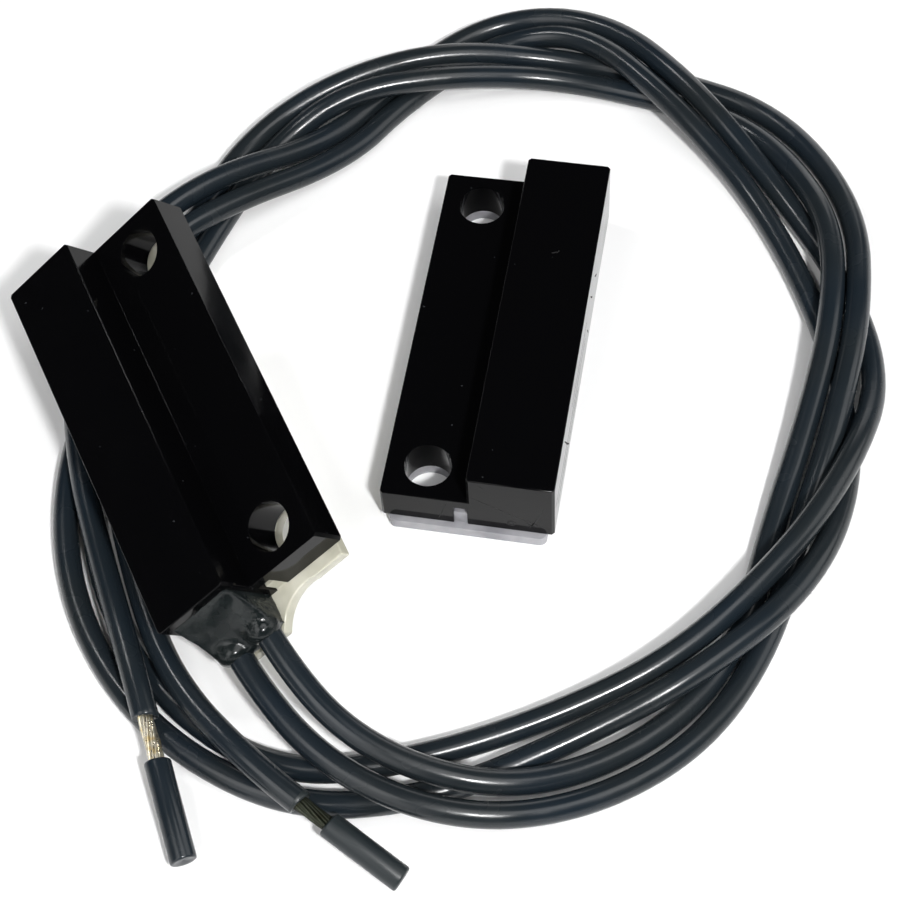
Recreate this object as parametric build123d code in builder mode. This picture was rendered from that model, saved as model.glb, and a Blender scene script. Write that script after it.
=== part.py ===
from build123d import *
from math import pi, radians, tan
import os

# Surface-mount door contact: a magnet unit and a tilted reed-switch unit with two loose leads.
# Millimetres. Z is up and z = 0 is the surface that the leads and the magnet unit lie on.
# The origin is the centre of the magnet unit's underside, with +Y along the magnet unit.

# housing moulding, the same for both units: a low step with two screw holes beside a tall channel
WIDTH = 19.0
LENGTH = 44.0
STEP_WIDTH = 9.5
STEP_HEIGHT = 4.4
CHANNEL_HEIGHT = 9.0
WALL = 1.2
EDGE = 0.3
HOLE_RADIUS = 2.6
HOLE_INSET_X = 4.6
HOLE_INSET_Y = 4.1
HOLE_PITCH = LENGTH - 2 * HOLE_INSET_Y
NOTCH_WIDTH = 1.5
NOTCH_HEIGHT = 3.1
NOTCH_DEPTH = 1.6
LUG_HEIGHT = 1.9
LUG_SETBACK = 0.2

# white base plate under each housing
PLATE = 1.4
PLATE_INSET = 0.8
MAGNET_PLATE_OVERHANG = 0.7
SWITCH_PLATE_OVERHANG = 1.3
TAB_OVERHANG = 4.2
TAB_CORNER_X = 8.1
TAB_HOLLOW_X = 9.8
TAB_HOLLOW_Y = -2.2
TAB_END_X = 13.9

# switch unit's pose: near-left bottom corner of its housing, its width axis and its top normal
SWITCH_ORIGIN = (-23.27, -41.37, 4.27)
SWITCH_WIDTH_AXIS = (0.680, 0.401, 0.613)
SWITCH_NORMAL = (-0.464, -0.412, 0.784)

# cable exit through the switch housing's near end wall
LEAD_1_X = 2.6
LEAD_2_X = 6.9
LEAD_Z = 1.6
LEAD_START = 2.5
EXIT_HEIGHT = 3.2
EXIT_CLEARANCE = 0.1
LEAD_RADIUS = 1.4
EXIT_MID_X = (LEAD_1_X + LEAD_2_X) / 2
EXIT_WIDTH = LEAD_2_X - LEAD_1_X + 2 * (LEAD_RADIUS + EXIT_CLEARANCE)

# leads
STRIPPED_RADIUS = 0.9
INNER_CONDUCTOR_RADIUS = 0.6
ARC_SHARE = 0.45

# reed capsule, along the tall channel
REED_X = 4.75
REED_Z = 4.2
GLASS_START = 14.0
GLASS_LENGTH = 14.0
GLASS_RADIUS = 1.1
GLASS_BORE = 0.8
SEAL_LENGTH = 1.8
REED_WIRE_RADIUS = 0.3
REED_BEND = 0.9
BLADE_WIDTH = 1.1
BLADE_THICKNESS = 0.2
BLADE_OVERLAP = 0.9
BLADE_GAP = 0.2
BLADE_ROOT_GAP = 0.1
SOLDER_RADIUS = 0.9
SOLDER_LENGTH = 3.0
NEAR_SOLDER_START = 5.6
FAR_SOLDER_START = 31.5
FAR_LOOP_Y = 38.0
NEAR_BEND_Y = 11.8
NEAR_DROP_Y = 10.2

# bar magnet
MAGNET_SIZE = 5.0
MAGNET_LENGTH = 25.0
MAGNET_Z = 1.5

# stripped ends: bare stretch, then the offcut of jacket left on the conductor's tip
BARE_1 = 3.7
SLUG_1 = 9.2
BARE_2 = 5.0
SLUG_2 = 10.8
TIP_RECESS = 0.4

# sealant over the near end: its reach at the tab, and its section's crest, middle and top
SEALANT_REACH = 3.8
SEALANT_CREST = (3.6, 2.6)
SEALANT_MIDDLE = (1.7, 5.0)
SEALANT_TOP = (0.35, 7.8)
SEALANT_MARGIN = 0.4

magnet_frame = Plane(origin=(-WIDTH / 2, -LENGTH / 2, PLATE))
switch_frame = Plane(origin=SWITCH_ORIGIN, x_dir=SWITCH_WIDTH_AXIS, z_dir=SWITCH_NORMAL)


def in_switch(x, y, z):
    """A point of the switch unit's own frame, in the part's frame."""
    return switch_frame.from_local_coords(Vector(x, y, z))


# Lead 1 starts nearer the housing's tall side; both run twice round the loop, counter-clockwise
LEAD_1_ROUTE = [
    in_switch(LEAD_1_X, LEAD_START, LEAD_Z),
    in_switch(LEAD_1_X, -4.8, LEAD_Z),
    (-9, -54, 5.2), (4.5, -57.2, 4.3), (17, -52.9, 1.5), (28, -44, 1.4),
    (33.8, -31, 1.4), (35.5, -17.5, 1.6), (38, -5.5, 4.3), (39.5, 9.5, 4.9),
    (38, 25.5, 3.2), (28, 39.8, 1.4), (14, 43.8, 1.4), (0, 45, 1.5),
    (-13.5, 41.5, 5), (-26, 36, 3.8), (-35.5, 27, 1.5), (-39.5, 12.5, 1.4),
    (-42.5, -1.5, 1.4), (-45.5, -16.5, 1.4), (-43.5, -30.5, 1.4), (-37, -43, 1.4),
    (-26.5, -52.5, 1.4), (-12, -57.5, 1.4), (2, -54, 1.4), (15, -45.5, 1.5),
    (27, -37.5, 4.6), (37, -25.5, 4.4), (40.5, -11.5, 1.5), (38.5, 1.5, 1.4),
    (33.5, 14.5, 1.4), (25, 28.5, 1.6), (14.5, 38, 4.6), (3, 47.5, 4.3),
    (-8, 46.8, 1.4), (-17.5, 36, 1.4), (-23, 25.5, 1.8), (-35.5, 14.5, 4.7),
    (-42.5, 6.5, 4.3), (-44.5, -7.5, 4.5), (-40, -21, 4.4), (-33.2, -36, 4.3),
    (-26.5, -47, 4.7), (-16, -55.2, 5.3), (-11, -57.6, 4.1),
]
LEAD_2_ROUTE = [
    in_switch(LEAD_2_X, LEAD_START, LEAD_Z),
    in_switch(LEAD_2_X, -5.2, LEAD_Z),
    (-6.5, -51.5, 6.5), (6.5, -53.5, 4.3), (17, -49, 1.6), (26.5, -40.5, 1.4),
    (31, -29.5, 1.4), (32.5, -17.5, 1.4), (35, -4.5, 3.1), (36.5, 8, 4.7),
    (35.5, 21.5, 4.5), (29.8, 31.8, 2.5), (23, 38, 1.4), (13, 40.5, 1.4),
    (0, 42, 1.6), (-12.5, 38, 4.6), (-24.5, 33.2, 5), (-32.5, 25.5, 1.4),
    (-36.5, 12, 1.4), (-39.5, -1.5, 1.4), (-42.2, -15.5, 1.4), (-40.5, -29.5, 1.4),
    (-34, -41, 1.4), (-25, -49.5, 1.4), (-13, -54, 1.4), (0, -50, 1.4),
    (13, -43, 1.4), (25, -35, 3.5), (34.5, -22.5, 5.1), (40, -10.5, 5.3),
    (42.6, 2.5, 1.9), (38, 15.5, 1.4), (28, 29.5, 1.4), (17.5, 39.5, 5.1),
    (5.5, 50, 4), (-8.5, 50.5, 1.8), (-19.5, 38.5, 1.4), (-25.3, 27.4, 2.3),
    (-37.5, 17.4, 5.9), (-45.5, 8, 4.3), (-47.5, -7.5, 4.4), (-43.5, -21.5, 4.4),
    (-37.7, -33.5, 4.4), (-31.6, -44.8, 5.3), (-28.5, -50.9, 4.3),
]

written = []


def write(piece, label):
    """Label one finished piece and export it as its own node."""
    piece.label = label
    export_step(piece, f"parts/{label}.step")
    written.append(label)


def placed(frame, x, y, z):
    """A plane parallel to a unit's frame at a local point."""
    return Plane(
        origin=frame.from_local_coords(Vector(x, y, z)), x_dir=frame.x_dir, z_dir=frame.z_dir
    )


def hole_points(step_x):
    """Centres of the two screw holes, for a step whose holes lie at step_x."""
    return [(step_x, HOLE_INSET_Y), (step_x, HOLE_INSET_Y + HOLE_PITCH)]


def corner_radii(points):
    """Arc radius at each inner corner: ARC_SHARE of the shorter run over the half turn's tangent."""
    radii = []
    for before, here, after in zip(points, points[1:], points[2:]):
        incoming = here - before
        outgoing = after - here
        half_turn = radians(incoming.get_angle(outgoing)) / 2
        radii.append(ARC_SHARE * min(incoming.length, outgoing.length) / tan(half_turn))
    return radii


def tube(points, radius, radii):
    """A round rod swept along straight runs joined by tangent arcs."""
    with BuildPart() as rod:
        with BuildLine() as path:
            FilletPolyline(*points, radius=radii)
        with BuildSketch(Plane(origin=path.line @ 0, z_dir=path.line % 0)):
            Circle(radius)
        sweep()
    return rod.part, path.wires()[0]


def housing(frame, channel_left):
    """L-section moulding with a potted channel, two screw holes and an end notch at each end."""
    channel_x = 0 if channel_left else STEP_WIDTH
    step_x = WIDTH - HOLE_INSET_X if channel_left else HOLE_INSET_X
    notch_x = (
        WIDTH - STEP_WIDTH + NOTCH_WIDTH / 2 if channel_left else STEP_WIDTH - NOTCH_WIDTH / 2
    )
    with BuildPart() as shell:
        with BuildSketch(frame):
            Rectangle(WIDTH, LENGTH, align=Align.MIN)
        extrude(amount=STEP_HEIGHT)
        with BuildSketch(placed(frame, channel_x, 0, STEP_HEIGHT)):
            Rectangle(WIDTH - STEP_WIDTH, LENGTH, align=Align.MIN)
        extrude(amount=CHANNEL_HEIGHT - STEP_HEIGHT)
        upright = shell.edges().filter_by(lambda e: abs((e % 0.5).dot(frame.z_dir)) > 0.99)
        outer = upright.filter_by(lambda e: e.length > STEP_HEIGHT - 0.01)
        chamfer(outer, EDGE)
        crown = shell.faces().sort_by(Axis(frame.origin, frame.z_dir))[-1]
        fillet(crown.edges(), EDGE / 2)
        with BuildSketch(placed(frame, channel_x + WALL, WALL, 0)):
            Rectangle(WIDTH - STEP_WIDTH - 2 * WALL, LENGTH - 2 * WALL, align=Align.MIN)
        extrude(amount=CHANNEL_HEIGHT - WALL, mode=Mode.SUBTRACT)
        with BuildSketch(frame):
            with Locations(*hole_points(step_x)):
                Circle(HOLE_RADIUS)
        extrude(amount=STEP_HEIGHT, mode=Mode.SUBTRACT)
        for end_y in (NOTCH_DEPTH / 2, LENGTH - NOTCH_DEPTH / 2):
            with BuildSketch(placed(frame, notch_x, end_y, 0)):
                Rectangle(NOTCH_WIDTH, NOTCH_DEPTH)
            extrude(amount=NOTCH_HEIGHT, mode=Mode.SUBTRACT)
        if channel_left:
            with BuildSketch(placed(frame, EXIT_MID_X, WALL / 2, 0)):
                Rectangle(EXIT_WIDTH, WALL)
            extrude(amount=EXIT_HEIGHT, mode=Mode.SUBTRACT)
    return shell.part, notch_x, step_x


def base_plate(frame, notch_x, step_x, overhang, tab):
    """Flat plate with two screw holes and a lug that stands in each end notch."""
    near_y = -overhang
    far_y = LENGTH - PLATE_INSET
    left_x = PLATE_INSET
    right_x = WIDTH - PLATE_INSET
    with BuildPart() as plate:
        with BuildSketch(placed(frame, 0, 0, -PLATE)) as outline:
            with BuildLine():
                if tab:
                    # the tab flares out of the near edge under the leads, concave on its right
                    Line((left_x, far_y), (left_x, -TAB_OVERHANG))
                    Line((left_x, -TAB_OVERHANG), (TAB_CORNER_X, -TAB_OVERHANG))
                    ThreePointArc(
                        (TAB_CORNER_X, -TAB_OVERHANG),
                        (TAB_HOLLOW_X, TAB_HOLLOW_Y),
                        (TAB_END_X, near_y),
                    )
                    Line((TAB_END_X, near_y), (right_x, near_y))
                else:
                    Line((left_x, far_y), (left_x, near_y))
                    Line((left_x, near_y), (right_x, near_y))
                Line((right_x, near_y), (right_x, far_y))
                Line((right_x, far_y), (left_x, far_y))
            make_face()
            corners = outline.vertices().group_by(Axis.Y)[-1]
            if not tab:
                corners = corners + outline.vertices().group_by(Axis.Y)[0]
            fillet(corners, PLATE_INSET)
            with Locations(*hole_points(step_x)):
                Circle(HOLE_RADIUS, mode=Mode.SUBTRACT)
        extrude(amount=PLATE)
        lug_depth = NOTCH_DEPTH - LUG_SETBACK
        for end_y in (LUG_SETBACK + lug_depth / 2, LENGTH - LUG_SETBACK - lug_depth / 2):
            with BuildSketch(placed(frame, notch_x, end_y, 0)):
                Rectangle(NOTCH_WIDTH, lug_depth)
            extrude(amount=LUG_HEIGHT)
    return plate.part


os.makedirs("parts", exist_ok=True)

# magnet unit
magnet_shell, magnet_notch_x, magnet_hole_x = housing(magnet_frame, channel_left=False)
write(magnet_shell, "magnet_housing")
write(
    base_plate(magnet_frame, magnet_notch_x, magnet_hole_x, MAGNET_PLATE_OVERHANG, tab=False),
    "magnet_base_plate",
)

channel_mid_x = STEP_WIDTH + (WIDTH - STEP_WIDTH) / 2
with BuildPart() as magnet_bar:
    with BuildSketch(placed(magnet_frame, channel_mid_x, LENGTH / 2, MAGNET_Z)):
        Rectangle(MAGNET_SIZE, MAGNET_LENGTH)
    extrude(amount=MAGNET_SIZE)
    chamfer(magnet_bar.edges(), EDGE)
write(magnet_bar.part, "magnet_bar")

with BuildPart() as magnet_potting:
    with BuildSketch(placed(magnet_frame, STEP_WIDTH + WALL, WALL, 0)):
        Rectangle(WIDTH - STEP_WIDTH - 2 * WALL, LENGTH - 2 * WALL, align=Align.MIN)
    extrude(amount=CHANNEL_HEIGHT - WALL)
    add(magnet_bar.part, mode=Mode.SUBTRACT)
write(magnet_potting.part, "magnet_potting")

# switch unit's housing and plate
switch_shell, switch_notch_x, switch_hole_x = housing(switch_frame, channel_left=True)
write(switch_shell, "switch_housing")
write(
    base_plate(switch_frame, switch_notch_x, switch_hole_x, SWITCH_PLATE_OVERHANG, tab=True),
    "switch_base_plate",
)

# leads' jackets, the stripped conductor at each far end and its slug of jacket
lead_solids = {}
for label, route, bare, slug in (
    ("lead_1", LEAD_1_ROUTE, BARE_1, SLUG_1),
    ("lead_2", LEAD_2_ROUTE, BARE_2, SLUG_2),
):
    points = [Vector(*point) for point in route]
    radii = corner_radii(points)
    jacket, centre_line = tube(points, LEAD_RADIUS, radii)
    section = pi * LEAD_RADIUS**2
    print(label, "radii", [round(r, 1) for r in radii])
    print(label, "length", round(centre_line.length, 1), "tube", round(jacket.volume / section, 1))
    lead_solids[label] = jacket
    write(jacket, f"{label}_jacket")

    tip = Plane(origin=centre_line @ 1, z_dir=centre_line % 1)
    with BuildPart() as conductor:
        with BuildSketch(tip):
            Circle(STRIPPED_RADIUS)
        extrude(amount=bare + slug - TIP_RECESS)
    write(conductor.part, f"{label}_bare_end")
    with BuildPart() as slug_part:
        with BuildSketch(tip.offset(bare)):
            Circle(LEAD_RADIUS)
            Circle(STRIPPED_RADIUS, mode=Mode.SUBTRACT)
        extrude(amount=slug)
    write(slug_part.part, f"{label}_slug")

# reed capsule in the tall channel: glass, two wires, two spring blades
glass_start = placed(switch_frame, REED_X, GLASS_START, REED_Z)
along = Plane(origin=glass_start.origin, x_dir=glass_start.x_dir, z_dir=switch_frame.y_dir)
bore_length = GLASS_LENGTH - 2 * SEAL_LENGTH
with BuildPart() as glass:
    with BuildSketch(along):
        Circle(GLASS_RADIUS)
    extrude(amount=GLASS_LENGTH)
    fillet(glass.edges().filter_by(GeomType.CIRCLE), GLASS_RADIUS / 2)
    with BuildSketch(along.offset(SEAL_LENGTH)):
        Circle(GLASS_BORE)
    extrude(amount=bore_length, mode=Mode.SUBTRACT)
    with BuildSketch(along):
        Circle(REED_WIRE_RADIUS)
    extrude(amount=GLASS_LENGTH, mode=Mode.SUBTRACT)
write(glass.part, "reed_glass")

near_wire_points = [
    in_switch(REED_X, GLASS_START + SEAL_LENGTH, REED_Z),
    in_switch(REED_X, NEAR_BEND_Y, REED_Z),
    in_switch(LEAD_1_X, NEAR_DROP_Y, LEAD_Z),
    in_switch(LEAD_1_X, NEAR_SOLDER_START + SOLDER_LENGTH, LEAD_Z),
]
far_wire_points = [
    in_switch(REED_X, GLASS_START + GLASS_LENGTH - SEAL_LENGTH, REED_Z),
    in_switch(REED_X, FAR_LOOP_Y, REED_Z),
    in_switch(LEAD_2_X, FAR_LOOP_Y, LEAD_Z),
    in_switch(LEAD_2_X, FAR_SOLDER_START + SOLDER_LENGTH, LEAD_Z),
]
near_wire, _ = tube(near_wire_points, REED_WIRE_RADIUS, [REED_BEND, REED_BEND])
far_wire, _ = tube(far_wire_points, REED_WIRE_RADIUS, [REED_BEND, REED_BEND])
write(near_wire, "reed_wire_near")
write(far_wire, "reed_wire_far")

# each blade starts at its seal and they overlap at mid capsule with the open contact gap between
mid_bore = bore_length / 2
blade_length = mid_bore + BLADE_OVERLAP / 2 - BLADE_ROOT_GAP
for label, start, side in (
    ("reed_blade_near", BLADE_ROOT_GAP, -1),
    ("reed_blade_far", mid_bore - BLADE_OVERLAP / 2, 1),
):
    centre_z = REED_Z + side * (BLADE_GAP + BLADE_THICKNESS) / 2
    centre_y = GLASS_START + SEAL_LENGTH + start + blade_length / 2
    with BuildPart() as blade:
        with BuildSketch(placed(switch_frame, REED_X, centre_y, centre_z - BLADE_THICKNESS / 2)):
            Rectangle(BLADE_WIDTH, blade_length)
        extrude(amount=BLADE_THICKNESS)
    write(blade.part, label)

# solder joints and the conductors inside the housing
solder_parts = []
for label, lead_x, start in (
    ("solder_joint_near", LEAD_1_X, NEAR_SOLDER_START),
    ("solder_joint_far", LEAD_2_X, FAR_SOLDER_START),
):
    base = placed(switch_frame, lead_x, start, LEAD_Z)
    with BuildPart() as joint:
        with BuildSketch(Plane(origin=base.origin, x_dir=base.x_dir, z_dir=switch_frame.y_dir)):
            Circle(SOLDER_RADIUS)
        extrude(amount=SOLDER_LENGTH)
        chamfer(joint.edges().filter_by(GeomType.CIRCLE), EDGE)
    solder_parts.append(joint.part)
    write(joint.part, label)

conductor_parts = []
for label, lead_x, end_y in (
    ("lead_1_inner_conductor", LEAD_1_X, NEAR_SOLDER_START),
    ("lead_2_inner_conductor", LEAD_2_X, FAR_SOLDER_START),
):
    base = placed(switch_frame, lead_x, LEAD_START, LEAD_Z)
    with BuildPart() as wire:
        with BuildSketch(Plane(origin=base.origin, x_dir=base.x_dir, z_dir=switch_frame.y_dir)):
            Circle(INNER_CONDUCTOR_RADIUS)
        extrude(amount=end_y - LEAD_START)
    conductor_parts.append(wire.part)
    write(wire.part, label)

# potting fills the channel round the capsule, its wires and the jackets' ends
buried = [near_wire, far_wire, *solder_parts, *conductor_parts]
with BuildPart() as capsule_room:
    with BuildSketch(along):
        Circle(GLASS_RADIUS)
    extrude(amount=GLASS_LENGTH)
with BuildPart() as jacket_room:
    for lead_x in (LEAD_1_X, LEAD_2_X):
        base = placed(switch_frame, lead_x, LEAD_START, LEAD_Z)
        with BuildSketch(Plane(origin=base.origin, x_dir=base.x_dir, z_dir=-switch_frame.y_dir)):
            Circle(LEAD_RADIUS)
        extrude(amount=LEAD_START + TAB_OVERHANG)
with BuildPart() as switch_potting:
    with BuildSketch(placed(switch_frame, WALL, WALL, 0)):
        Rectangle(WIDTH - STEP_WIDTH - 2 * WALL, LENGTH - 2 * WALL, align=Align.MIN)
    extrude(amount=CHANNEL_HEIGHT - WALL)
    for piece in (*buried, capsule_room.part, jacket_room.part):
        add(piece, mode=Mode.SUBTRACT)
write(switch_potting.part, "switch_potting")

# sealant: a plug in the exit slot and a wedge over the near end, thick at the tab, thin at the top
sealant_right_x = LEAD_2_X + LEAD_RADIUS + SEALANT_MARGIN
with BuildPart() as sealant:
    side = Plane(
        origin=in_switch(sealant_right_x, 0, 0),
        x_dir=-switch_frame.y_dir,
        z_dir=-switch_frame.x_dir,
    )
    with BuildSketch(side):
        with BuildLine():
            Line((0, 0), (SEALANT_REACH, 0))
            Line((SEALANT_REACH, 0), SEALANT_CREST)
            ThreePointArc(SEALANT_CREST, SEALANT_MIDDLE, SEALANT_TOP)
            Line(SEALANT_TOP, (0, SEALANT_TOP[1]))
            Line((0, SEALANT_TOP[1]), (0, 0))
        make_face()
    extrude(amount=sealant_right_x - PLATE_INSET)
    with BuildSketch(placed(switch_frame, EXIT_MID_X, WALL / 2, 0)):
        Rectangle(EXIT_WIDTH, WALL)
    extrude(amount=EXIT_HEIGHT)
    add(jacket_room.part, mode=Mode.SUBTRACT)
write(sealant.part, "exit_sealant")

print(len(written), "nodes")
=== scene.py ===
from math import cos, radians, sin, tau

import bmesh
import bpy
from mathutils import Matrix, Vector, noise


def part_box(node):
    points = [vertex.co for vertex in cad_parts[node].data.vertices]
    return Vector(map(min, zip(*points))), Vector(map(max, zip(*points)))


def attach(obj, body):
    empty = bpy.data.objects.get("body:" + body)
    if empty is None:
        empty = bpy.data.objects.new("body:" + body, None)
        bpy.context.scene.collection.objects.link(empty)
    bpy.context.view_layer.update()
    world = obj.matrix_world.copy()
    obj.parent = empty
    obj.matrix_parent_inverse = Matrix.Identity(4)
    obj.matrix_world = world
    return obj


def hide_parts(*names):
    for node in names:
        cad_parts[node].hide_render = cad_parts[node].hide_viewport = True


# Surface-mount door contact: a magnet unit lying inside the loop of two leads, and the reed-switch
# unit propped on the loop with the leads potted into its near end. Sizes here are in millimetres
# and every mesh is built in metres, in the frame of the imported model.

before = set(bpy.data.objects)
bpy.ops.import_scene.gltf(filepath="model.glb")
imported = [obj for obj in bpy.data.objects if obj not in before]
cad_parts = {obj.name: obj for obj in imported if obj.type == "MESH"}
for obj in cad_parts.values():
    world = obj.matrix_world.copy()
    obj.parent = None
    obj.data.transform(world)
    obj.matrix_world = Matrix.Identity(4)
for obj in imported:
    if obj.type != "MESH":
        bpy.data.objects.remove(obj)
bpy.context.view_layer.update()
MM = 0.001
scene = bpy.context.scene

# ---------------------------------------------------------------- camera

CAMERA_PLACE = (27.25, -141.38, 212.55)
CAMERA_TURN = (31.95, 2.27, 9.84)
CAMERA_LENS = 90

camera_data = bpy.data.cameras.new("camera")
camera_data.lens = CAMERA_LENS
camera = bpy.data.objects.new("camera", camera_data)
camera.location = Vector(CAMERA_PLACE) * MM
camera.rotation_euler = [radians(turn) for turn in CAMERA_TURN]
scene.collection.objects.link(camera)
scene.camera = camera

# ---------------------------------------------------------------- the leads' routes

SWITCH_ORIGIN = (-23.27, -41.37, 4.27)
SWITCH_WIDTH_AXIS = (0.680, 0.401, 0.613)
SWITCH_NORMAL = (-0.464, -0.412, 0.784)
LEAD_1_X = 2.6
LEAD_2_X = 6.9
LEAD_Z = 1.6
LEAD_START = 2.5
LEAD_RADIUS = 1.4
TAB_OVERHANG = 4.2

switch_x = Vector(SWITCH_WIDTH_AXIS).normalized()
switch_z = Vector(SWITCH_NORMAL).normalized()
switch_y = switch_z.cross(switch_x).normalized()


def in_switch(x, y, z):
    """A point of the tilted switch unit's own frame, in the part's frame."""
    return Vector(SWITCH_ORIGIN) + x * switch_x + y * switch_y + z * switch_z


LEAD_1_ROUTE = [
    in_switch(LEAD_1_X, LEAD_START, LEAD_Z),
    in_switch(LEAD_1_X, -4.8, LEAD_Z),
    (-9, -54, 5.2), (4.5, -57.2, 4.3), (17, -52.9, 1.5), (28, -44, 1.4),
    (33.8, -31, 1.4), (35.5, -17.5, 1.6), (38, -5.5, 4.3), (39.5, 9.5, 4.9),
    (38, 25.5, 3.2), (28, 39.8, 1.4), (14, 43.8, 1.4), (0, 45, 1.5),
    (-13.5, 41.5, 5), (-26, 36, 3.8), (-35.5, 27, 1.5), (-39.5, 12.5, 1.4),
    (-42.5, -1.5, 1.4), (-45.5, -16.5, 1.4), (-43.5, -30.5, 1.4), (-37, -43, 1.4),
    (-26.5, -52.5, 1.4), (-12, -57.5, 1.4), (2, -54, 1.4), (15, -45.5, 1.5),
    (27, -37.5, 4.6), (37, -25.5, 4.4), (40.5, -11.5, 1.5), (38.5, 1.5, 1.4),
    (33.5, 14.5, 1.4), (25, 28.5, 1.6), (14.5, 38, 4.6), (3, 47.5, 4.3),
    (-8, 46.8, 1.4), (-17.5, 36, 1.4), (-23, 25.5, 1.8), (-35.5, 14.5, 4.7),
    (-42.5, 6.5, 4.3), (-44.5, -7.5, 4.5), (-40, -21, 4.4), (-33.2, -36, 4.3),
    (-26.5, -47, 4.7), (-16, -55.2, 5.3), (-11, -57.6, 4.1),
]
LEAD_2_ROUTE = [
    in_switch(LEAD_2_X, LEAD_START, LEAD_Z),
    in_switch(LEAD_2_X, -5.2, LEAD_Z),
    (-6.5, -51.5, 6.5), (6.5, -53.5, 4.3), (17, -49, 1.6), (26.5, -40.5, 1.4),
    (31, -29.5, 1.4), (32.5, -17.5, 1.4), (35, -4.5, 3.1), (36.5, 8, 4.7),
    (35.5, 21.5, 4.5), (29.8, 31.8, 2.5), (23, 38, 1.4), (13, 40.5, 1.4),
    (0, 42, 1.6), (-12.5, 38, 4.6), (-24.5, 33.2, 5), (-32.5, 25.5, 1.4),
    (-36.5, 12, 1.4), (-39.5, -1.5, 1.4), (-42.2, -15.5, 1.4), (-40.5, -29.5, 1.4),
    (-34, -41, 1.4), (-25, -49.5, 1.4), (-13, -54, 1.4), (0, -50, 1.4),
    (13, -43, 1.4), (25, -35, 3.5), (34.5, -22.5, 5.1), (40, -10.5, 5.3),
    (42.6, 2.5, 1.9), (38, 15.5, 1.4), (28, 29.5, 1.4), (17.5, 39.5, 5.1),
    (5.5, 50, 4), (-8.5, 50.5, 1.8), (-19.5, 38.5, 1.4), (-25.3, 27.4, 2.3),
    (-37.5, 17.4, 5.9), (-45.5, 8, 4.3), (-47.5, -7.5, 4.4), (-43.5, -21.5, 4.4),
    (-37.7, -33.5, 4.4), (-31.6, -44.8, 5.3), (-28.5, -50.9, 4.3),
]


def lead_jacket(name, route):
    """A round lead as one smooth spline along its route."""
    curve = bpy.data.curves.new(name, "CURVE")
    curve.dimensions = "3D"
    spline = curve.splines.new("NURBS")
    spline.points.add(len(route) - 1)
    for point, place in zip(spline.points, route):
        point.co = (*(Vector(place) * MM), 1)
    spline.order_u = 3
    spline.use_endpoint_u = True
    curve.resolution_u = 12
    curve.bevel_depth = LEAD_RADIUS * MM
    curve.bevel_resolution = 10
    curve.use_fill_caps = True
    jacket = bpy.data.objects.new(name, curve)
    scene.collection.objects.link(jacket)
    return jacket


lead_1 = lead_jacket("lead_1_pvc_jacket", LEAD_1_ROUTE)
lead_2 = lead_jacket("lead_2_pvc_jacket", LEAD_2_ROUTE)

# ---------------------------------------------------------------- materials


def linear(sheet_colour):
    """An sRGB hex colour as linear RGBA."""
    channels = [int(sheet_colour[i : i + 2], 16) / 255 for i in (1, 3, 5)]
    return [
        c / 12.92 if c <= 0.04045 else ((c + 0.055) / 1.055) ** 2.4 for c in channels
    ] + [1.0]


def per(millimetres):
    """The texture scale whose features are that big."""
    return 1 / (millimetres * MM)


def node(tree, kind, inputs=None, **settings):
    """Adds one node with its settings; inputs are values, or outputs to link from. A socket whose
    name several data types share is given by its index."""
    made = tree.nodes.new(kind)
    for setting, value in settings.items():
        setattr(made, setting, value)
    for socket, value in (inputs or {}).items():
        if isinstance(value, bpy.types.NodeSocket):
            tree.links.new(value, made.inputs[socket])
        else:
            made.inputs[socket].default_value = value
    return made


def finish_of(name, colour, roughness, **sockets):
    """A Principled material; returns it with its tree, its shader and the object coordinates."""
    made = bpy.data.materials.new(name)
    made.use_nodes = True
    tree = made.node_tree
    shader = tree.nodes["Principled BSDF"]
    shader.inputs["Base Color"].default_value = linear(colour)
    shader.inputs["Roughness"].default_value = roughness
    for socket, value in sockets.items():
        shader.inputs[socket.replace("_", " ")].default_value = value
    place = node(tree, "ShaderNodeTexCoord").outputs["Object"]
    return made, tree, shader, place


def mottle(tree, shader, place, size, spread, first, second, detail=2.0):
    """Two hex colours in soft patches, size millimetres across; spread is where they meet."""
    patches = node(
        tree, "ShaderNodeTexNoise", {"Vector": place, "Scale": per(size), "Detail": detail}
    )
    amount = node(
        tree,
        "ShaderNodeMapRange",
        {"Value": patches.outputs["Fac"], "From Min": spread[0], "From Max": spread[1]},
    )
    colour = node(
        tree,
        "ShaderNodeMix",
        {0: amount.outputs["Result"], 6: linear(first), 7: linear(second)},
        data_type="RGBA",
    )
    tree.links.new(colour.outputs[2], shader.inputs["Base Color"])


def patchy_gloss(tree, shader, place, size, smoothest, roughest, detail=2.0):
    """Roughness that drifts between two values, in patches size millimetres across."""
    patches = node(
        tree, "ShaderNodeTexNoise", {"Vector": place, "Scale": per(size), "Detail": detail}
    )
    amount = node(
        tree,
        "ShaderNodeMapRange",
        {"Value": patches.outputs["Fac"], "From Min": 0.3, "From Max": 0.7,
         "To Min": smoothest, "To Max": roughest},
    )
    tree.links.new(amount.outputs["Result"], shader.inputs["Roughness"])


def uneven(tree, shader, place, *layers):
    """Fine relief from (size, depth, strength, detail) layers, sizes and depths in millimetres."""
    normal = None
    for size, depth, strength, detail in layers:
        bumps = node(
            tree, "ShaderNodeTexNoise", {"Vector": place, "Scale": per(size), "Detail": detail}
        )
        inputs = {
            "Height": bumps.outputs["Fac"], "Distance": depth * MM, "Strength": strength
        }
        if normal is not None:
            inputs["Normal"] = normal
        normal = node(tree, "ShaderNodeBump", inputs).outputs["Normal"]
    tree.links.new(normal, shader.inputs["Normal"])


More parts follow.
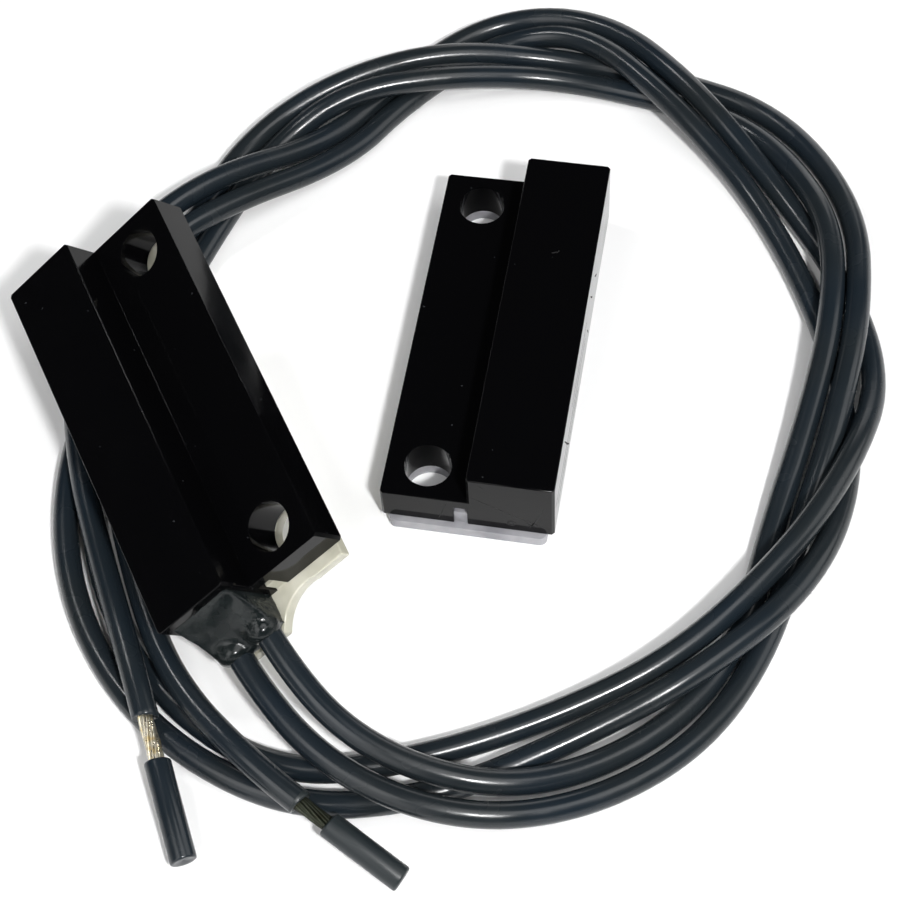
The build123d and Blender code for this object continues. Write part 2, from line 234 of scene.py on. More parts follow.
def gloss_black_abs():
    """Injection-moulded black ABS from a polished tool: a deep, nearly unbroken gloss with faint
    waviness, cloudy handling wear, and a rare dust speck that catches the light."""
    made, tree, shader, place = finish_of(
        "gloss_black_abs", "#050506", 0.1, IOR=1.46, Specular_IOR_Level=0.15
    )
    patchy_gloss(tree, shader, place, 6.0, 0.05, 0.13, 3.0)
    mottle(tree, shader, place, 0.5, (0.885, 0.9), "#050506", "#2c2e30", 0.0)
    uneven(tree, shader, place, (2.5, 0.02, 0.15, 1.0), (0.3, 0.002, 0.15, 2.0))
    return made


def scored_abs():
    """The torn burr of a scratch in ABS: dull and dark, so it shows where the gloss round it
    mirrors something pale."""
    made, tree, shader, place = finish_of("scored_abs", "#0b0b0c", 0.7, IOR=1.46)
    mottle(tree, shader, place, 0.2, (0.4, 0.6), "#070708", "#1a1a1b", 3.0)
    uneven(tree, shader, place, (0.2, 0.01, 0.5, 3.0))
    return made


def moulded_plate(name, light, shade, cloud_size, depth):
    """Natural polypropylene: milky and slightly see-through at its thin edges, with a waxy gloss
    that dips and swells where it was pressed on."""
    made, tree, shader, place = finish_of(
        name,
        light,
        0.28,
        IOR=1.49,
        Subsurface_Weight=0.2,
        Subsurface_Scale=0.6 * MM,
        Subsurface_Radius=(1.0, 0.95, 0.85),
    )
    mottle(tree, shader, place, cloud_size, (0.35, 0.65), light, shade)
    patchy_gloss(tree, shader, place, 1.2, 0.08, 0.24)
    uneven(tree, shader, place, (1.9, depth, 0.5, 0.0), (0.7, 0.03, 0.4, 0.0))
    return made


def grey_sealant():
    """Hand-applied polyurethane sealant: a skinned-over dark grey-green, semi-gloss where it
    flowed and duller where it was touched, with small pits."""
    made, tree, shader, place = finish_of(
        "polyurethane_sealant", "#131819", 0.3, IOR=1.44, Specular_IOR_Level=0.4
    )
    mottle(tree, shader, place, 2.2, (0.35, 0.65), "#101516", "#191e1e", 3.0)
    patchy_gloss(tree, shader, place, 1.6, 0.14, 0.36)
    uneven(tree, shader, place, (1.4, 0.06, 0.3, 1.0), (0.35, 0.005, 0.3, 1.0))
    return made


def pvc_jacket(name, colour, shade, smoothest, roughest):
    """Extruded plasticised PVC: dark slate and satin, with soft patches of a greyer olive tone that
    are a painted warm reflection. The die leaves a fine leathery grain, drawn here at half a
    millimetre so that it shows, which breaks the highlight into sparkle."""
    made, tree, shader, place = finish_of(name, colour, 0.3, IOR=1.5, Specular_IOR_Level=0.4)
    # the second tone's soft patches are a painted warm reflection on the slate
    mottle(tree, shader, place, 16.0, (0.38, 0.62), colour, shade)
    patchy_gloss(tree, shader, place, 5.0, smoothest, roughest)
    uneven(tree, shader, place, (0.6, 0.012, 0.3, 1.0))
    return made


def tinned_copper(name, tin, copper, rough):
    """Tin-dipped copper strands: bright tin with the copper's warmth showing where it wore thin."""
    made, tree, shader, place = finish_of(name, tin, rough, Metallic=1.0)
    mottle(tree, shader, place, 0.9, (0.5, 0.66), tin, copper)
    patchy_gloss(tree, shader, place, 0.5, rough * 0.8, rough * 1.3)
    uneven(tree, shader, place, (0.2, 0.002, 0.15, 1.0))
    return made


def potting_resin():
    """Cast black epoxy: smooth and glossy, with specks of filler."""
    made, tree, shader, place = finish_of("black_epoxy_potting", "#15130f", 0.22, IOR=1.55)
    mottle(tree, shader, place, 0.25, (0.66, 0.74), "#15130f", "#3b352c")
    uneven(tree, shader, place, (1.5, 0.03, 0.4, 2.0))
    return made


def capsule_glass():
    """Lead-glass tube of a reed capsule: clear with the green cast that takes infrared sealing."""
    made, tree, shader, place = finish_of(
        "green_capsule_glass", "#c9dfc8", 0.04, IOR=1.52, Transmission_Weight=1.0
    )
    uneven(tree, shader, place, (1.5, 0.02, 0.3, 2.0))
    return made


def reed_alloy():
    """Drawn nickel-iron, plated: pale and slightly warm, with lines left by the drawing."""
    made, tree, shader, place = finish_of("plated_nickel_iron", "#c2bcae", 0.28, Metallic=1.0)
    patchy_gloss(tree, shader, place, 0.2, 0.2, 0.42, 3.0)
    uneven(tree, shader, place, (0.15, 0.004, 0.4, 2.0))
    return made


def solder_tin():
    """Hand-soldered tin-lead: bright where it wet the wire, frosted where it cooled slowly."""
    made, tree, shader, place = finish_of("tin_lead_solder", "#b9b9b6", 0.3, Metallic=1.0)
    patchy_gloss(tree, shader, place, 0.6, 0.18, 0.5, 3.0)
    uneven(tree, shader, place, (0.4, 0.04, 0.5, 2.0))
    return made


def magnet_ferrite():
    """Pressed and sintered ferrite: dark charcoal with a matte, faintly gritty ground face."""
    made, tree, shader, place = finish_of("sintered_ferrite", "#2c2b2b", 0.62, IOR=1.6)
    mottle(tree, shader, place, 0.18, (0.4, 0.6), "#262526", "#3a3938", 3.0)
    uneven(tree, shader, place, (0.18, 0.015, 0.5, 3.0))
    return made


def paper_floor():
    """A plain matt white card, very slightly toothed, that fades into the pale backdrop."""
    made, tree, shader, place = finish_of("matt_white_card", "#fafafa", 0.75, IOR=1.45)
    uneven(tree, shader, place, (0.8, 0.01, 0.2, 4.0))
    return made


BLACK_ABS = gloss_black_abs()
SCORED_ABS = scored_abs()
MILKY_PLATE = moulded_plate("milky_polypropylene", "#9d9da1", "#85858a", 3.0, 0.12)
CREAM_PLATE = moulded_plate("yellowed_polypropylene", "#cfcdbe", "#b4b2a2", 3.5, 0.08)
SEALANT = grey_sealant()
# each jacket's second colour is the tone of its painted warm reflection patches
LEAD_PVC = pvc_jacket("slate_grey_pvc", "#182027", "#1d2225", 0.18, 0.3)
DULL_PVC = pvc_jacket("handled_slate_grey_pvc", "#1a2126", "#1f2526", 0.34, 0.46)
BRIGHT_STRANDS = tinned_copper("bright_tinned_copper", "#e2dbc8", "#d6c291", 0.28)
DULL_STRANDS = tinned_copper("oxidised_tinned_copper", "#35382f", "#292920", 0.5)
POTTING = potting_resin()
GLASS = capsule_glass()
REED_ALLOY = reed_alloy()
SOLDER = solder_tin()
FERRITE = magnet_ferrite()
CARD = paper_floor()

# ---------------------------------------------------------------- mesh helpers


def piece(name, mesh, material, body, stands_for=()):
    """Links a finished mesh as a piece of the part."""
    made = bpy.data.objects.new(name, mesh)
    mesh.materials.clear()
    mesh.materials.append(material)
    scene.collection.objects.link(made)
    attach(made, body)
    if stands_for:
        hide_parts(*stands_for)
    return made


def smooth(mesh, sharp_angle=35):
    """Smooth shading with edges kept crisp above an angle."""
    mesh.polygons.foreach_set("use_smooth", [True] * len(mesh.polygons))
    mesh.set_sharp_from_angle(angle=radians(sharp_angle))


def baked(mesh, *modifiers):
    """The mesh with each (type, settings) modifier applied to it."""
    carrier = bpy.data.objects.new("carrier", mesh)
    scene.collection.objects.link(carrier)
    for kind, settings in modifiers:
        step = carrier.modifiers.new(kind.lower(), kind)
        for setting, value in settings.items():
            setattr(step, setting, value)
    made = bpy.data.meshes.new_from_object(
        carrier.evaluated_get(bpy.context.evaluated_depsgraph_get())
    )
    bpy.data.objects.remove(carrier)
    return made


WELD_DISTANCE = 0.0005
FLAT_ANGLE = 0.5


def merged_copy(cad_node):
    """A copy of a CAD node's mesh with its loose triangles joined and flats dissolved."""
    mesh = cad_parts[cad_node].data.copy()
    shape = bmesh.new()
    shape.from_mesh(mesh)
    bmesh.ops.remove_doubles(shape, verts=shape.verts, dist=WELD_DISTANCE * MM)
    bmesh.ops.dissolve_limit(
        shape, angle_limit=radians(FLAT_ANGLE), verts=shape.verts, edges=shape.edges
    )
    bmesh.ops.recalc_face_normals(shape, faces=shape.faces)
    shape.to_mesh(mesh)
    shape.free()
    return mesh


def spun(profile, segments=40):
    """A closed (radius, height, lean) profile spun about Z. Lean tips that ring to one side, as a
    cut that isn't square does. Millimetres in, metres out."""
    shape = bmesh.new()
    rings = []
    for step in range(segments):
        turn = tau * step / segments
        rings.append(
            [
                shape.verts.new(
                    Vector((r * cos(turn), r * sin(turn), h + lean * cos(turn))) * MM
                )
                for r, h, lean in profile
            ]
        )
    for here, after in zip(rings, rings[1:] + rings[:1]):
        for i in range(len(profile)):
            j = (i + 1) % len(profile)
            shape.faces.new((here[i], after[i], after[j], here[j]))
    bmesh.ops.recalc_face_normals(shape, faces=shape.faces)
    mesh = bpy.data.meshes.new("spun")
    shape.to_mesh(mesh)
    shape.free()
    return mesh


def joined(*meshes):
    """One mesh of several."""
    shape = bmesh.new()
    for mesh in meshes:
        shape.from_mesh(mesh)
    made = bpy.data.meshes.new("joined")
    shape.to_mesh(made)
    shape.free()
    return made


def grown(tree, inputs, base=None):
    """A plain mesh from a Geometry Nodes tree with its named inputs set."""
    carrier = bpy.data.objects.new("carrier", base or bpy.data.meshes.new("seed"))
    scene.collection.objects.link(carrier)
    modifier = carrier.modifiers.new("grow", "NODES")
    modifier.node_group = tree
    for item in tree.interface.items_tree:
        if item.item_type == "SOCKET" and item.in_out == "INPUT" and item.name in inputs:
            modifier[item.identifier] = inputs[item.name]
    made = bpy.data.meshes.new_from_object(
        carrier.evaluated_get(bpy.context.evaluated_depsgraph_get())
    )
    bpy.data.objects.remove(carrier)
    return made


def growth(name, inputs):
    """An empty Geometry Nodes tree with a Geometry input and output and (name, kind) inputs."""
    tree = bpy.data.node_groups.new(name, "GeometryNodeTree")
    tree.interface.new_socket("Geometry", in_out="INPUT", socket_type="NodeSocketGeometry")
    tree.interface.new_socket("Geometry", in_out="OUTPUT", socket_type="NodeSocketGeometry")
    for label, kind in inputs:
        tree.interface.new_socket(label, in_out="INPUT", socket_type=f"NodeSocket{kind}")
    given = node(tree, "NodeGroupInput").outputs
    return tree, given


# ---------------------------------------------------------------- housings

# the moulded shells keep their shape, with the tool's crisp edges just broken
EDGE_BREAK = 0.07
SLIVER = 0.002
SHELL_SHARP = 32
SHELL_BEVELLED = 50


def crisp(mesh, sharp_angle):
    """Smooth shading in which the big flats stay flat and only the narrow roundings bend. The
    bevel's slivers are closed up first."""
    shape = bmesh.new()
    shape.from_mesh(mesh)
    bmesh.ops.remove_doubles(shape, verts=shape.verts, dist=SLIVER * MM)
    bmesh.ops.dissolve_degenerate(shape, dist=SLIVER * MM, edges=shape.edges)
    shape.to_mesh(mesh)
    shape.free()
    smooth(mesh, sharp_angle)
    return baked(
        mesh,
        ("WEIGHTED_NORMAL", {"mode": "FACE_AREA", "weight": 100, "keep_sharp": True}),
    )


def shell(cad_node, name, body):
    broken = baked(
        merged_copy(cad_node),
        (
            "BEVEL",
            {"width": EDGE_BREAK * MM, "segments": 2, "limit_method": "ANGLE",
             "angle_limit": radians(SHELL_BEVELLED)},
        ),
    )
    return piece(name, crisp(broken, SHELL_SHARP), BLACK_ABS, body, [cad_node])


shell("magnet_housing", "magnet_unit_shell", "magnet_unit")
shell("switch_housing", "switch_unit_shell", "switch_unit")


# ---------------------------------------------------------------- base plates

PLATE_EDGE = 0.28
PLATE_SHARP = 40


def plate(cad_node, name, material, body):
    rounded = baked(
        merged_copy(cad_node),
        (
            "BEVEL",
            {"width": PLATE_EDGE * MM, "segments": 3, "limit_method": "ANGLE",
             "angle_limit": radians(PLATE_SHARP)},
        ),
    )
    return piece(name, crisp(rounded, PLATE_SHARP), material, body, [cad_node])


plate("magnet_base_plate", "magnet_unit_base_plate", MILKY_PLATE, "magnet_unit")
plate("switch_base_plate", "switch_unit_base_plate", CREAM_PLATE, "switch_unit")

# ---------------------------------------------------------------- exit sealant

SEALANT_VOXEL = 0.17
SEALANT_FLOW = 26
SEALANT_PRESS = 0.3
COLLAR_RADIUS = 2.0
COLLAR_START = -2.9
SWELL_SIZE = 2.4
SWELL_DEPTH = 0.16
WEB_SIZE = (1.9, 1.0, 1.1)
WEB_SETBACK = 0.5
WEB_HEIGHT = 1.2
BEADS_PER_SQUARE_METRE = 40000.0
BEAD_RADIUS = 0.13
ALL_SMOOTH = 180

switch_turn = Matrix((switch_x, switch_y, switch_z)).transposed().to_4x4()


def collar(lead_x):
    """Sealant drawn a little way out along a lead, tapering down onto it."""
    mesh = spun(
        [(0.4, 0, 0), (COLLAR_RADIUS, 0, 0), (COLLAR_RADIUS - 0.05, 0.8, 0),
         (COLLAR_RADIUS - 0.2, 1.4, 0.1), (LEAD_RADIUS - 0.3, 1.9, 0.2), (0.4, 1.9, 0.2)]
    )
    start = in_switch(lead_x, COLLAR_START, LEAD_Z) * MM
    along = Vector((-switch_y)).to_track_quat("Z", "X").to_matrix().to_4x4()
    mesh.transform(Matrix.Translation(start) @ along)
    return mesh


def sealant_blob():
    """The wedge, its collars and the web between the leads, flowed into one skin and pressed
    against the housing."""
    wedge = merged_copy("exit_sealant")
    web = bpy.data.meshes.new("web")
    shape = bmesh.new()
    bmesh.ops.create_icosphere(shape, subdivisions=3, radius=1.0)
    shape.to_mesh(web)
    shape.free()
    middle = in_switch((LEAD_1_X + LEAD_2_X) / 2, WEB_SETBACK - TAB_OVERHANG, WEB_HEIGHT) * MM
    stretch = Matrix.Diagonal([size * MM for size in WEB_SIZE]).to_4x4()
    web.transform(Matrix.Translation(middle) @ switch_turn @ stretch)
    blob = baked(
        joined(wedge, collar(LEAD_1_X), collar(LEAD_2_X), web),
        ("REMESH", {"mode": "VOXEL", "voxel_size": SEALANT_VOXEL * MM}),
        ("SMOOTH", {"factor": 0.5, "iterations": SEALANT_FLOW}),
    )
    for vertex in blob.vertices:
        swell = noise.noise(vertex.co * per(SWELL_SIZE))
        vertex.co += vertex.normal * swell * SWELL_DEPTH * MM
        vertex.co += switch_y * SEALANT_PRESS * MM
    smooth(blob, ALL_SMOOTH)
    return blob


sealant_mesh = sealant_blob()
piece(
    "exit_sealant_skin", sealant_mesh, SEALANT, "switch_unit", ["exit_sealant"]
)


def droplet_tree():
    """Scatters round beads of random size over a surface, from a fixed seed."""
    tree, given = growth(
        "sealant_beads",
        [("Beads per Square Metre", "Float"), ("Bead Radius", "Float"), ("Seed", "Int"),
         ("Material", "Material")],
    )
    spots = node(
        tree,
        "GeometryNodeDistributePointsOnFaces",
        {"Mesh": given["Geometry"], "Density": given["Beads per Square Metre"],
         "Seed": given["Seed"]},
    )
    bead = node(
        tree, "GeometryNodeMeshIcoSphere", {"Radius": given["Bead Radius"], "Subdivisions": 2}
    )
    size = node(
        tree,
        "FunctionNodeRandomValue",
        {2: 0.5, 3: 1.25, "Seed": given["Seed"]},
        data_type="FLOAT",
    )
    beads = node(
        tree,
        "GeometryNodeInstanceOnPoints",
        {"Points": spots.outputs["Points"], "Instance": bead.outputs["Mesh"],
         "Rotation": spots.outputs["Rotation"], "Scale": size.outputs[1]},
    )
    real = node(tree, "GeometryNodeRealizeInstances", {"Geometry": beads.outputs["Instances"]})
    coated = node(
        tree,
        "GeometryNodeSetMaterial",
        {"Geometry": real.outputs["Geometry"], "Material": given["Material"]},
    )
    node(tree, "NodeGroupOutput", {"Geometry": coated.outputs["Geometry"]})
    return tree


beads = grown(
    droplet_tree(),
    {"Beads per Square Metre": BEADS_PER_SQUARE_METRE, "Bead Radius": BEAD_RADIUS * MM,
     "Seed": 7, "Material": SEALANT},
    sealant_mesh.copy(),
)
smooth(beads, ALL_SMOOTH)
piece("sealant_beads", beads, SEALANT, "switch_unit")

# ---------------------------------------------------------------- stripped ends

STRIPPED_RADIUS = 0.9
STRAND_COUNT = 26
LAY_LENGTH = 22.0
SLUG_BORE = 0.92
RECESS = 0.4
CUT_DISH = 0.22
CUT_SKIN = 0.36
BARE_1 = 3.7
SLUG_1 = 9.2
BARE_2 = 5.0
SLUG_2 = 10.8
GOLDEN_ANGLE = 2.39996
STRAND_RADIUS = 0.17
STRAND_LOOSENESS = 0.12
STRANDS_BURIED = 0.6


def strand_tree():
    """A bundle of wires laid in a sunflower packing and twisted together along Z."""
    tree, given = growth(
        "stranded_conductor",
        [("Strands", "Int"), ("Bundle Radius", "Float"), ("Strand Radius", "Float"),
         ("Length", "Float"), ("Lay Length", "Float"), ("Looseness", "Float"), ("Seed", "Int"),
         ("Material", "Material")],
    )
    index = node(tree, "GeometryNodeInputIndex").outputs[0]
    rank = node(
        tree,
        "GeometryNodeCaptureAttribute",
        {"Geometry": node(tree, "GeometryNodePoints", {"Count": given["Strands"]}).outputs[0]},
        domain="POINT",
    )
    rank.capture_items.new("INT", "Rank")
    tree.links.new(index, rank.inputs["Rank"])
    height = node(tree, "ShaderNodeCombineXYZ", {"Z": given["Length"]}).outputs[0]
    line = node(tree, "GeometryNodeCurvePrimitiveLine", {"End": height})
    wire = node(tree, "GeometryNodeResampleCurve", {"Curve": line.outputs[0], "Count": 24})
    wires = node(
        tree,
        "GeometryNodeInstanceOnPoints",
        {"Points": rank.outputs["Geometry"], "Instance": wire.outputs[0]},
    )
    loose = node(tree, "GeometryNodeRealizeInstances", {"Geometry": wires.outputs[0]})
    along = node(tree, "GeometryNodeSplineParameter").outputs["Length"]
    number = rank.outputs["Rank"]
    wander = node(
        tree,
        "FunctionNodeRandomValue",
        {2: -1.0, 3: 1.0, "ID": number, "Seed": given["Seed"]},
        data_type="FLOAT",
    ).outputs[1]
    middle_rank = node(tree, "ShaderNodeMath", {0: number, 1: 0.5}, operation="ADD").outputs[0]
    share = node(
        tree, "ShaderNodeMath", {0: middle_rank, 1: given["Strands"]}, operation="DIVIDE"
    ).outputs[0]
    packing = node(tree, "ShaderNodeMath", {0: share}, operation="SQRT").outputs[0]
    room_left = node(
        tree,
        "ShaderNodeMath",
        {0: given["Bundle Radius"], 1: given["Strand Radius"]},
        operation="SUBTRACT",
    ).outputs[0]
    reach = node(
        tree, "ShaderNodeMath", {0: packing, 1: room_left}, operation="MULTIPLY"
    ).outputs[0]
    lays = node(
        tree, "ShaderNodeMath", {0: along, 1: given["Lay Length"]}, operation="DIVIDE"
    ).outputs[0]
    twist = node(tree, "ShaderNodeMath", {0: lays, 1: tau}, operation="MULTIPLY").outputs[0]
    stray = node(
        tree,
        "ShaderNodeMath",
        {0: wander, 1: given["Looseness"], 2: twist},
        operation="MULTIPLY_ADD",
    ).outputs[0]
    turn = node(
        tree,
        "ShaderNodeMath",
        {0: number, 1: GOLDEN_ANGLE, 2: stray},
        operation="MULTIPLY_ADD",
    ).outputs[0]
    flat = node(
        tree,
        "ShaderNodeCombineXYZ",
        {"X": node(tree, "ShaderNodeMath", {0: turn}, operation="COSINE").outputs[0],
         "Y": node(tree, "ShaderNodeMath", {0: turn}, operation="SINE").outputs[0]},
    ).outputs[0]
    offset = node(
        tree, "ShaderNodeVectorMath", {0: flat, "Scale": reach}, operation="SCALE"
    ).outputs[0]
    laid = node(
        tree, "GeometryNodeSetPosition", {"Geometry": loose.outputs[0], "Offset": offset}
    )
    section = node(
        tree,
        "GeometryNodeCurvePrimitiveCircle",
        {"Resolution": 10, "Radius": given["Strand Radius"]},
    )
    solid = node(
        tree,
        "GeometryNodeCurveToMesh",
        {"Curve": laid.outputs[0], "Profile Curve": section.outputs[0], "Fill Caps": True},
    )
    real = node(tree, "GeometryNodeRealizeInstances", {"Geometry": solid.outputs[0]})
    coated = node(
        tree,
        "GeometryNodeSetMaterial",
        {"Geometry": real.outputs["Geometry"], "Material": given["Material"]},
    )
    node(tree, "NodeGroupOutput", {"Geometry": coated.outputs["Geometry"]})
    return tree


STRAND_TREE = strand_tree()


def stripped_end(lead, route, bare, slug, strands, sleeve_material):
    """The bared strands, the slid slug of jacket on their tips, and the jacket's cut lip."""
    tip = Vector(route[-1])
    heading = (tip - Vector(route[-2])).normalized()
    turn = heading.to_track_quat("Z", "Y").to_matrix().to_4x4()
    place = Matrix.Translation(tip * MM) @ turn

    wires = grown(
        STRAND_TREE,
        {"Strands": STRAND_COUNT, "Bundle Radius": STRIPPED_RADIUS * MM,
         "Strand Radius": STRAND_RADIUS * MM,
         "Length": (bare + slug - RECESS + STRANDS_BURIED) * MM,
         "Lay Length": LAY_LENGTH * MM, "Looseness": STRAND_LOOSENESS, "Seed": 3,
         "Material": strands},
    )
    wires.transform(place @ Matrix.Translation((0, 0, -STRANDS_BURIED * MM)))
    smooth(wires, sharp_angle=50)
    bared = piece(
        f"{lead}_bare_strands", wires, strands, "switch_unit",
        [f"{lead}_bare_end"],
    )

    # both ends are snipped slightly out of square, with the rim rounded over; the snips dragged
    # the jacket shut over the strands' tips
    sleeve = spun(
        [(SLUG_BORE, 0.10, 0.05), (1.0, 0.02, 0.10), (LEAD_RADIUS - 0.14, 0.0, 0.10),
         (LEAD_RADIUS - 0.03, 0.08, 0.10), (LEAD_RADIUS, 0.25, 0.05),
         (LEAD_RADIUS, slug - 0.25, -0.02), (LEAD_RADIUS - 0.04, slug - 0.08, -0.05),
         (LEAD_RADIUS - 0.16, slug, -0.06), (0.95, slug - 0.03, -0.06),
         (0.02, slug - CUT_DISH, -0.01), (0.02, slug - CUT_SKIN, -0.01),
         (SLUG_BORE, slug - CUT_SKIN, -0.03)],
        segments=48,
    )
    sleeve.transform(place @ Matrix.Translation((0, 0, bare * MM)))
    smooth(sleeve, sharp_angle=60)
    offcut = piece(
        f"{lead}_slug_of_jacket", sleeve, sleeve_material, "switch_unit",
        [f"{lead}_slug"],
    )

    lip = spun(
        [(SLUG_BORE, -0.3, 0), (LEAD_RADIUS + 0.015, -0.3, 0), (LEAD_RADIUS + 0.015, 0.05, 0.12),
         (LEAD_RADIUS - 0.05, 0.18, 0.22), (LEAD_RADIUS - 0.2, 0.24, 0.26),
         (1.0, 0.16, 0.2), (SLUG_BORE, 0.05, 0.1)],
        segments=48,
    )
    lip.transform(place)
    smooth(lip, sharp_angle=60)
    rim = piece(f"{lead}_cut_lip", lip, sleeve_material, "switch_unit")
    return [bared, offcut, rim]


end_1 = stripped_end("lead_1", LEAD_1_ROUTE, BARE_1, SLUG_1, DULL_STRANDS, DULL_PVC)
end_2 = stripped_end("lead_2", LEAD_2_ROUTE, BARE_2, SLUG_2, BRIGHT_STRANDS, LEAD_PVC)

for jacket in (lead_1, lead_2):
    jacket.data.materials.append(LEAD_PVC)
    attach(jacket, "switch_unit")
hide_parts("lead_1_jacket")
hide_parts("lead_2_jacket")

# ---------------------------------------------------------------- marks on the magnet unit

# the tool's pin leaves a shallow ring low on the tall half's near end
MARK_X = 4.8
MARK_Z = 2.8
MARK_RADIUS = 0.38
ring = spun(
    [(MARK_RADIUS - 0.11, -0.01, 0), (MARK_RADIUS - 0.09, 0.03, 0),
     (MARK_RADIUS + 0.09, 0.03, 0), (MARK_RADIUS + 0.11, -0.01, 0)],
    segments=32,
)
shell_low, shell_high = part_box("magnet_housing")
near_face = shell_low.y / MM
side_face = shell_high.x / MM
ring.transform(
    Matrix.Translation((MARK_X * MM, near_face * MM, MARK_Z * MM))
    @ Matrix.Rotation(radians(90), 4, "X")
)
smooth(ring, sharp_angle=60)
piece("ejector_pin_mark", ring, SCORED_ABS, "magnet_unit")

SCRATCH_PROUD = 0.008
SCRATCH_BURIED = 0.03
SCRATCH_STEPS = 8
SCRATCH_BOW = 0.012
SCRATCH_TIP = 0.15


def scratches(name, outward, lines):
    """Raised burrs of scratches on one flat face: (start, end, width) lines, tapered to points
    and bowed a little, as a slipped tool leaves them."""
    shape = bmesh.new()
    outward = Vector(outward)
    for start, end, width in lines:
        start, end = Vector(start), Vector(end)
        run = end - start
        across = run.cross(outward).normalized()
        rows = []
        for step in range(SCRATCH_STEPS + 1):
            share = step / SCRATCH_STEPS
            arch = sin(share * tau / 2)
            bow = arch * run.length * SCRATCH_BOW
            half = width / 2 * (SCRATCH_TIP + (1 - SCRATCH_TIP) * arch**0.5)
            middle = start + run * share + across * bow
            rows.append(
                [
                    shape.verts.new((middle + across * side * half + outward * rise) * MM)
                    for side, rise in (
                        (-1, -SCRATCH_BURIED), (-1, SCRATCH_PROUD),
                        (1, SCRATCH_PROUD), (1, -SCRATCH_BURIED),
                    )
                ]
            )
        for here, after in zip(rows, rows[1:]):
            for i in range(4):
                j = (i + 1) % 4
                shape.faces.new((here[i], after[i], after[j], here[j]))
        shape.faces.new(rows[0])
        shape.faces.new(rows[-1])
    bmesh.ops.recalc_face_normals(shape, faces=shape.faces)
    mesh = bpy.data.meshes.new(name)
    shape.to_mesh(mesh)
    shape.free()
    return piece(name, mesh, SCORED_ABS, "magnet_unit")


scratches(
    "near_end_scratches",
    (0, -1, 0),
    [
        ((0.4, near_face, 7.2), (9.0, near_face, 2.4), 0.17),
        ((6.9, near_face, 2.5), (8.4, near_face, 6.6), 0.15),
        ((6.5, near_face, 3.2), (7.6, near_face, 2.6), 0.18),
        ((6.8, near_face, 2.3), (7.3, near_face, 3.5), 0.15),
        ((-3.2, near_face, 1.9), (-2.2, near_face, 5.3), 0.15),
        ((1.2, near_face, 9.9), (2.0, near_face, 9.2), 0.06),
    ],
)
scratches(
    "side_scratches",
    (1, 0, 0),
    [
        ((side_face, -14.6, 8.8), (side_face, -11.0, 2.6), 0.24),
        ((side_face, -21.0, 5.6), (side_face, 1.5, 5.1), 0.10),
        ((side_face, -19.5, 3.9), (side_face, -4.0, 3.4), 0.12),
        ((side_face, -9.0, 7.0), (side_face, 2.5, 6.8), 0.08),
        ((side_face, 5.5, 7.6), (side_face, 7.2, 5.2), 0.22),
        ((side_face, 9.2, 6.4), (side_face, 10.6, 5.0), 0.26),
        ((side_face, 3.2, 4.4), (side_face, 4.1, 2.6), 0.20),
    ],
)

# a chip of swarf stuck to the tall half's top
shell_top = shell_high.z / MM
scratches(
    "top_nick",
    (0, 0, 1),
    [
        ((4.6, 8.8, shell_top), (5.3, 9.1, shell_top), 0.14),
        ((5.2, 8.9, shell_top), (5.4, 9.3, shell_top), 0.12),
    ],
)

# ---------------------------------------------------------------- hidden works

for cad_node, material in (
    ("magnet_potting", POTTING),
    ("switch_potting", POTTING),
    ("magnet_bar", FERRITE),
    ("reed_glass", GLASS),
    ("reed_wire_near", REED_ALLOY),
    ("reed_wire_far", REED_ALLOY),
    ("reed_blade_near", REED_ALLOY),
    ("reed_blade_far", REED_ALLOY),
    ("solder_joint_near", SOLDER),
    ("solder_joint_far", SOLDER),
    ("lead_1_inner_conductor", BRIGHT_STRANDS),
    ("lead_2_inner_conductor", BRIGHT_STRANDS),
):
    for material_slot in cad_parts[cad_node].material_slots:
        material_slot.material = material

# ---------------------------------------------------------------- floor, light, colour

FLOOR_RADIUS = 0.4
FLOOR_SEGMENTS = 96
card = bpy.data.meshes.new("floor")
turns = [tau * step / FLOOR_SEGMENTS for step in range(FLOOR_SEGMENTS)]
rim = [(FLOOR_RADIUS * cos(turn), FLOOR_RADIUS * sin(turn), 0) for turn in turns]
card.from_pydata(rim, [], [range(FLOOR_SEGMENTS)])
card.materials.append(CARD)
floor = bpy.data.objects.new("floor", card)
scene.collection.objects.link(floor)

FILL_DISTANCE = 0.7


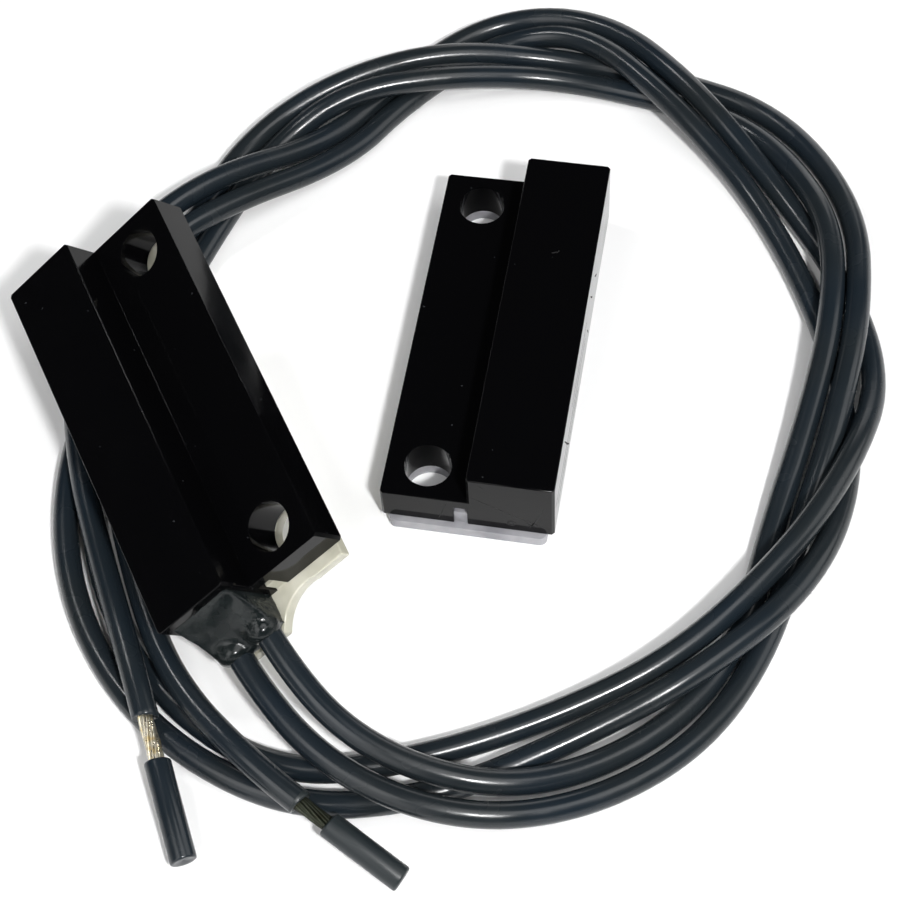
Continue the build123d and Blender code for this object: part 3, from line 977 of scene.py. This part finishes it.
def softbox(name, towards, distance, side, watts, shape="SQUARE"):
    """An area light aimed at the middle of the part."""
    data = bpy.data.lights.new(name, "AREA")
    data.shape = shape
    data.size = side
    data.energy = watts
    lamp = bpy.data.objects.new(name, data)
    heading = Vector(towards).normalized()
    lamp.location = heading * distance
    lamp.rotation_euler = heading.to_track_quat("Z", "Y").to_euler()
    lamp.visible_camera = False
    scene.collection.objects.link(lamp)


# the key sits just right of the camera, and a weak second one behind puts a thin streak on the
# leads at the left; no lamp stands where the flat tops would mirror it
softbox("key", (0.33, -0.52, 0.78), 0.5, 0.045, 2.0, "DISK")
softbox("rear_key", (-0.50, 0.15, 0.85), 0.5, 0.05, 0.3, "DISK")
for name, towards, side, watts in (
    ("left_fill", (-0.35, -0.85, 0.42), 0.40, 0.8),
    ("right_fill", (0.80, 0.25, 0.55), 0.45, 1.1),
    ("back_fill", (0.10, 0.90, 0.28), 0.40, 0.8),
    ("top_fill", (0.35, -0.15, 0.93), 0.35, 1.1),
    ("near_fill", (-0.35, -0.50, 0.80), 0.35, 1.1),
):
    softbox(name, towards, FILL_DISTANCE, side, watts)

# a dark room above a pale horizon: the flat gloss tops mirror the dark part, and the camera sees
# a pale backdrop past the card
HORIZON_TOP = 0.30
HORIZON_GLOW = 0.55
ROOM_GLOW = 0.02
BACKDROP = 0.93
world = bpy.data.worlds.new("studio")
scene.world = world
world.use_nodes = True
room = world.node_tree
direction = node(room, "ShaderNodeTexCoord").outputs["Generated"]
height = node(room, "ShaderNodeSeparateXYZ", {"Vector": direction}).outputs["Z"]
glow = node(
    room,
    "ShaderNodeMapRange",
    {"Value": height, "From Min": 0.02, "From Max": HORIZON_TOP, "To Min": HORIZON_GLOW,
     "To Max": ROOM_GLOW},
).outputs["Result"]
seen = node(room, "ShaderNodeLightPath").outputs["Is Camera Ray"]
level = node(
    room, "ShaderNodeMix", {0: seen, 2: glow, 3: BACKDROP}, data_type="FLOAT"
).outputs[0]
room.links.new(level, room.nodes["Background"].inputs["Strength"])
room.nodes["Background"].inputs["Color"].default_value = linear("#ffffff")

scene.view_settings.view_transform = "Standard"
